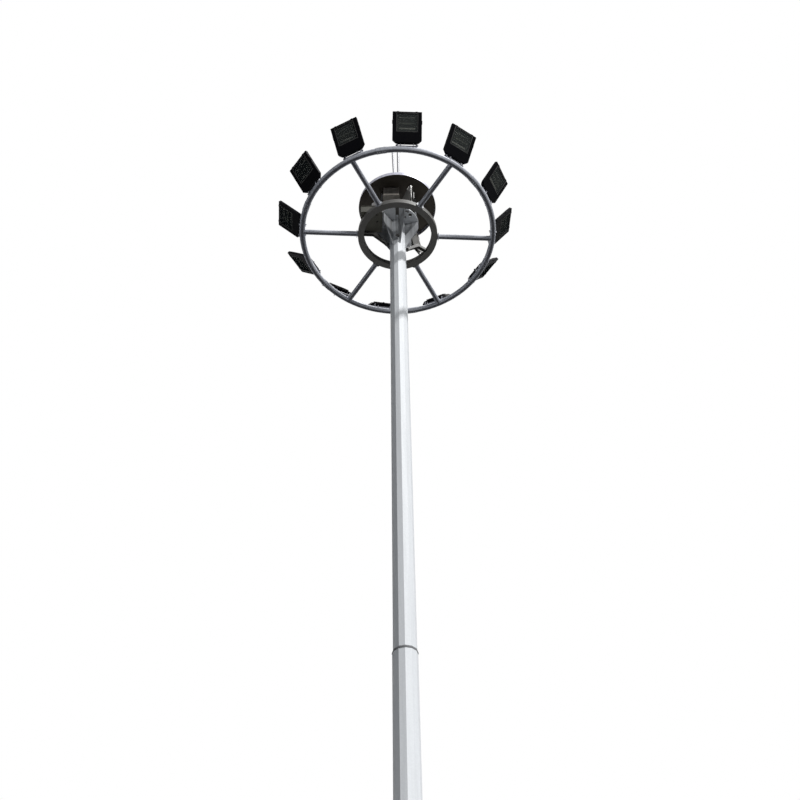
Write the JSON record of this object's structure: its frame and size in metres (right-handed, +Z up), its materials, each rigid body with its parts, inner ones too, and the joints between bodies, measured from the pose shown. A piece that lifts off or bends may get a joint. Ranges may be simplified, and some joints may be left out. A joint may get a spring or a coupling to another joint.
{
  "type": "high mast floodlight tower",
  "caption": "Twelve-sided steel mast with a ring carriage of tilting floodlights hoisted under a round canopy with a lightning rod.",
  "frame": {"origin": "centre of the base flange's underside, at ground level", "axes": "+Z up along the mast; +Y away from the viewer of the reference view; +X to that viewer's right"},
  "size_m": [4.0133, 3.9419, 19.95],
  "materials": {
    "mast_steel": "hot-dip galvanised, weathered to a pale blue grey",
    "galvanised_steel": "hot-dip galvanised, dull",
    "ring_steel": "hot-dip galvanised tube, fairly bright",
    "yoke_steel": "zinc-plated pressed steel",
    "sheave_steel": "turned and polished by the rope",
    "rod_steel": "galvanised pipe, weathered",
    "hub_steel": "hot-dip galvanised, aged and dirty, dark grey",
    "junction_paint": "dark olive powder coat, dirty",
    "wire_rope": "stainless steel strands",
    "canopy_metal": "aluminium sheet, pale outside, dirty inside",
    "box_steel": "grey-brown powder coat",
    "lamp_black": "die-cast aluminium, black satin powder coat",
    "lamp_glass": "toughened glass, clear, slightly dusty",
    "cable_rubber": "black rubber sheath",
    "roller_rubber": "black solid rubber"
  },
  "bodies": {
    "mast": {"base_flange": "galvanised_steel", "base_gussets": "galvanised_steel", "mast_lower_section": "mast_steel", "mast_upper_section": "mast_steel", "door_frame": "galvanised_steel", "access_door": "galvanised_steel", "head_plate": "mast_steel", "head_gussets": "mast_steel", "pulley_arms": "galvanised_steel", "rope_sheaves": "sheave_steel", "head_ropes": "wire_rope", "head_cable": "cable_rubber", "rope_equaliser": "galvanised_steel", "canopy": "canopy_metal", "canopy_posts": "galvanised_steel", "head_terminal_box": "box_steel", "lightning_rod": "rod_steel", "slim_pole": "rod_steel"},
    "carriage": {"inner_ring": "hub_steel", "ring_splices": "ring_steel", "spokes": "ring_steel", "rope_sockets": "galvanised_steel", "hoist_ropes": "wire_rope", "guide_arms": "hub_steel", "guide_rollers": "roller_rubber", "junction_box": "junction_paint", "junction_box_lid": "junction_paint", "power_cable": "cable_rubber", "floodlight_yokes": "yoke_steel", "ring_segment_1": "ring_steel", "ring_segment_2": "ring_steel", "ring_segment_3": "ring_steel", "ring_segment_4": "ring_steel", "ring_segment_5": "ring_steel", "ring_segment_6": "ring_steel"},
    "floodlight_01": {"floodlight_01_housing": "lamp_black", "floodlight_01_glass": "lamp_glass"},
    "floodlight_02": {"floodlight_02_housing": "lamp_black", "floodlight_02_glass": "lamp_glass"},
    "floodlight_03": {"floodlight_03_housing": "lamp_black", "floodlight_03_glass": "lamp_glass"},
    "floodlight_04": {"floodlight_04_housing": "lamp_black", "floodlight_04_glass": "lamp_glass"},
    "floodlight_05": {"floodlight_05_housing": "lamp_black", "floodlight_05_glass": "lamp_glass"},
    "floodlight_06": {"floodlight_06_housing": "lamp_black", "floodlight_06_glass": "lamp_glass"},
    "floodlight_07": {"floodlight_07_housing": "lamp_black", "floodlight_07_glass": "lamp_glass"},
    "floodlight_08": {"floodlight_08_housing": "lamp_black", "floodlight_08_glass": "lamp_glass"},
    "floodlight_09": {"floodlight_09_housing": "lamp_black", "floodlight_09_glass": "lamp_glass"},
    "floodlight_10": {"floodlight_10_housing": "lamp_black", "floodlight_10_glass": "lamp_glass"},
    "floodlight_11": {"floodlight_11_housing": "lamp_black", "floodlight_11_glass": "lamp_glass"},
    "floodlight_12": {"floodlight_12_housing": "lamp_black", "floodlight_12_glass": "lamp_glass"}
  },
  "joints": [
    {"name": "carriage_lift", "type": "slide", "parent": "mast", "child": "carriage", "axis": [0, 0, 1], "range_m": [-15, 0], "deforming": ["hoist_ropes", "power_cable"]},
    {"name": "floodlight_01_tilt", "type": "hinge", "parent": "carriage", "child": "floodlight_01", "pos_m": [1.59735, 0.0921, 16.744], "axis": [-0.0576, 0.9983, 0], "range_deg": [-29, 51]},
    {"name": "floodlight_02_tilt", "type": "hinge", "parent": "carriage", "child": "floodlight_02", "pos_m": [1.33267, 0.88543, 16.744], "axis": [-0.5534, 0.8329, 0], "range_deg": [-33, 47]},
    {"name": "floodlight_03_tilt", "type": "hinge", "parent": "carriage", "child": "floodlight_03", "pos_m": [0.62517, 1.47281, 16.744], "axis": [-0.9205, 0.3907, 0], "range_deg": [-32, 48]},
    {"name": "floodlight_04_tilt", "type": "hinge", "parent": "carriage", "child": "floodlight_04", "pos_m": [-0.27233, 1.57665, 16.744], "axis": [-0.9854, -0.1702, 0], "range_deg": [-32, 48]},
    {"name": "floodlight_05_tilt", "type": "hinge", "parent": "carriage", "child": "floodlight_05", "pos_m": [-1.01772, 1.2346, 16.744], "axis": [-0.887, -0.4617, 0], "range_deg": [-28, 52]},
    {"name": "floodlight_06_tilt", "type": "hinge", "parent": "carriage", "child": "floodlight_06", "pos_m": [-1.45594, 0.66351, 16.744], "axis": [-0.4848, -0.8746, 0], "range_deg": [-39, 41]},
    {"name": "floodlight_07_tilt", "type": "hinge", "parent": "carriage", "child": "floodlight_07", "pos_m": [-1.59648, -0.10604, 16.744], "axis": [0.0941, -0.9956, 0], "range_deg": [-39, 41]},
    {"name": "floodlight_08_tilt", "type": "hinge", "parent": "carriage", "child": "floodlight_08", "pos_m": [-1.33729, -0.87844, 16.744], "axis": [0.6088, -0.7934, 0], "range_deg": [-31.5, 48.5]},
    {"name": "floodlight_09_tilt", "type": "hinge", "parent": "carriage", "child": "floodlight_09", "pos_m": [-0.68882, -1.44414, 16.744], "axis": [0.8957, -0.4446, 0], "range_deg": [-29.7, 50.3]},
    {"name": "floodlight_10_tilt", "type": "hinge", "parent": "carriage", "child": "floodlight_10", "pos_m": [0.17002, -1.59094, 16.744], "axis": [0.9985, 0.0541, 0], "range_deg": [-28, 52]},
    {"name": "floodlight_11_tilt", "type": "hinge", "parent": "carriage", "child": "floodlight_11", "pos_m": [0.92001, -1.30904, 16.744], "axis": [0.8241, 0.5664, 0], "range_deg": [-27.6, 52.4]},
    {"name": "floodlight_12_tilt", "type": "hinge", "parent": "carriage", "child": "floodlight_12", "pos_m": [1.45825, -0.65842, 16.744], "axis": [0.4242, 0.9056, 0], "range_deg": [-27.7, 52.3]}
  ]
}
